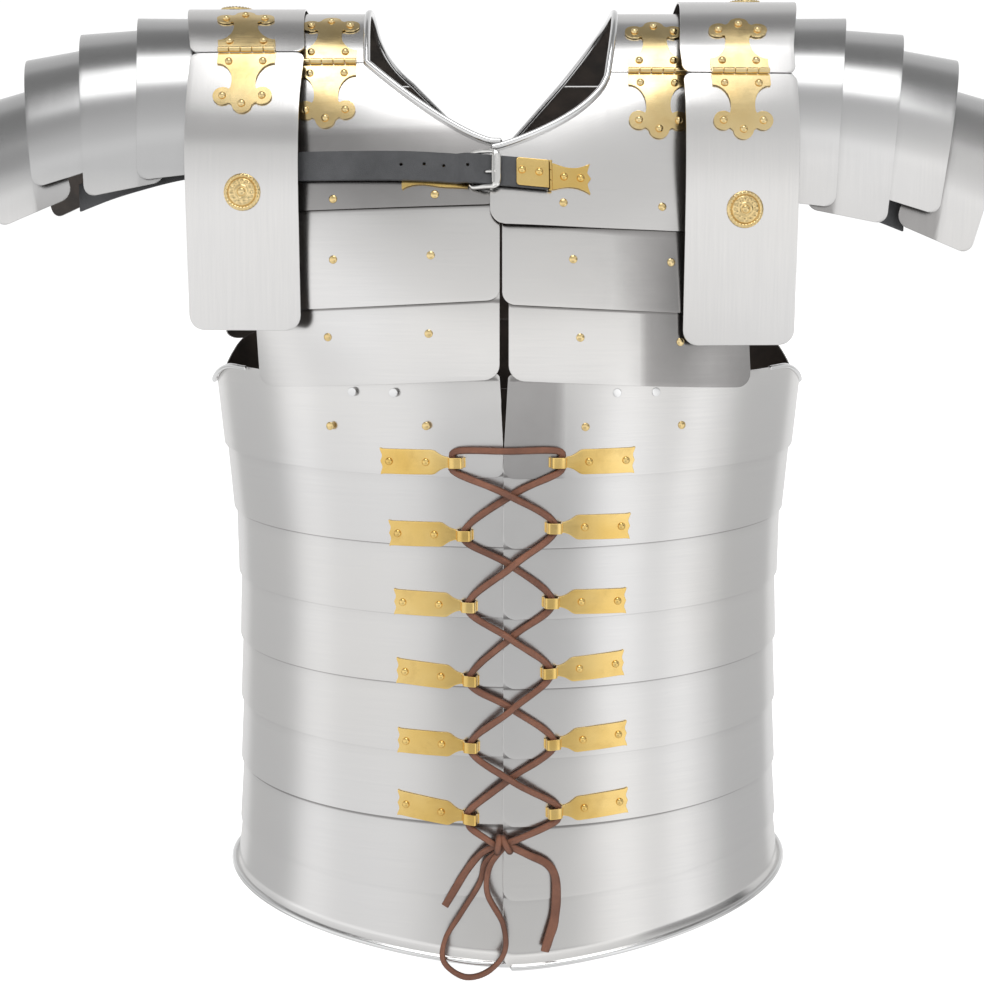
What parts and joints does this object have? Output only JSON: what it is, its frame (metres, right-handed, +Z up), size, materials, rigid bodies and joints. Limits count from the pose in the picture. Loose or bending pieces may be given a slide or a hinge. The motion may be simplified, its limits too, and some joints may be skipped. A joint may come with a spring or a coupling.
{
  "type": "roman segmented plate cuirass (body armour)",
  "caption": "Roman segmented steel body armour with shoulder guards, brass hinges, a buckled closing strap and a laced girdle of hoops; a hollow shell worn on the torso.",
  "frame": {"origin": "middle of the armour on top of the wearer's shoulders, under the crest of the collar plates, midway between left and right and near the middle of the depth", "axes": "+Z up; the front with the lacing faces -Y; +X is the viewer's right when looking at the front"},
  "size_m": [0.7409, 0.303, 0.6696],
  "materials": {
    "steel": "satin polished sheet steel, darker inside",
    "brass": "polished yellow brass sheet",
    "buckle_metal": "bright plated steel",
    "black_leather": "black strap leather, slightly worn at the edges",
    "brown_leather": "reddish-brown leather thong"
  },
  "bodies": {
    "root": {"breastplate_left": "steel", "breastplate_right": "steel", "buckle": "buckle_metal", "chest_plate_2_left": "steel", "chest_plate_2_right": "steel", "chest_plate_3_left": "steel", "chest_plate_3_right": "steel", "closing_strap": "black_leather", "closure_plate_left": "brass", "closure_plate_right": "brass", "collar_hinge_back_left": "brass", "collar_hinge_back_right": "brass", "collar_hinge_front_left": "brass", "collar_hinge_front_right": "brass", "collar_plate_left": "steel", "collar_plate_right": "steel", "girdle_hoop_1": "steel", "girdle_hoop_2": "steel", "girdle_hoop_3": "steel", "girdle_hoop_4": "steel", "girdle_hoop_5": "steel", "girdle_hoop_6": "steel", "girdle_hoop_7": "steel", "girdle_hoop_8": "steel", "girdle_leather_left": "black_leather", "girdle_leather_right": "black_leather", "guard_front_left": "steel", "guard_front_right": "steel", "guard_hinge_left": "brass", "guard_hinge_right": "brass", "guard_top_left": "steel", "guard_top_right": "steel", "lace": "brown_leather", "lace_bow": "brown_leather", "lame_1_left": "steel", "lame_1_right": "steel", "lame_2_left": "steel", "lame_2_right": "steel", "lame_3_left": "steel", "lame_3_right": "steel", "lame_4_left": "steel", "lame_4_right": "steel", "lower_back_plate_left": "steel", "lower_back_plate_right": "steel", "sleeve_strap_left": "black_leather", "sleeve_strap_right": "black_leather", "tie_hook_1_left": "brass", "tie_hook_1_right": "brass", "tie_hook_2_left": "brass", "tie_hook_2_right": "brass", "tie_hook_3_left": "brass", "tie_hook_3_right": "brass", "tie_hook_4_left": "brass", "tie_hook_4_right": "brass", "tie_hook_5_left": "brass", "tie_hook_5_right": "brass", "tie_hook_6_left": "brass", "tie_hook_6_right": "brass", "upper_back_plate_left": "steel", "upper_back_plate_right": "steel"}
  },
  "joints": []
}
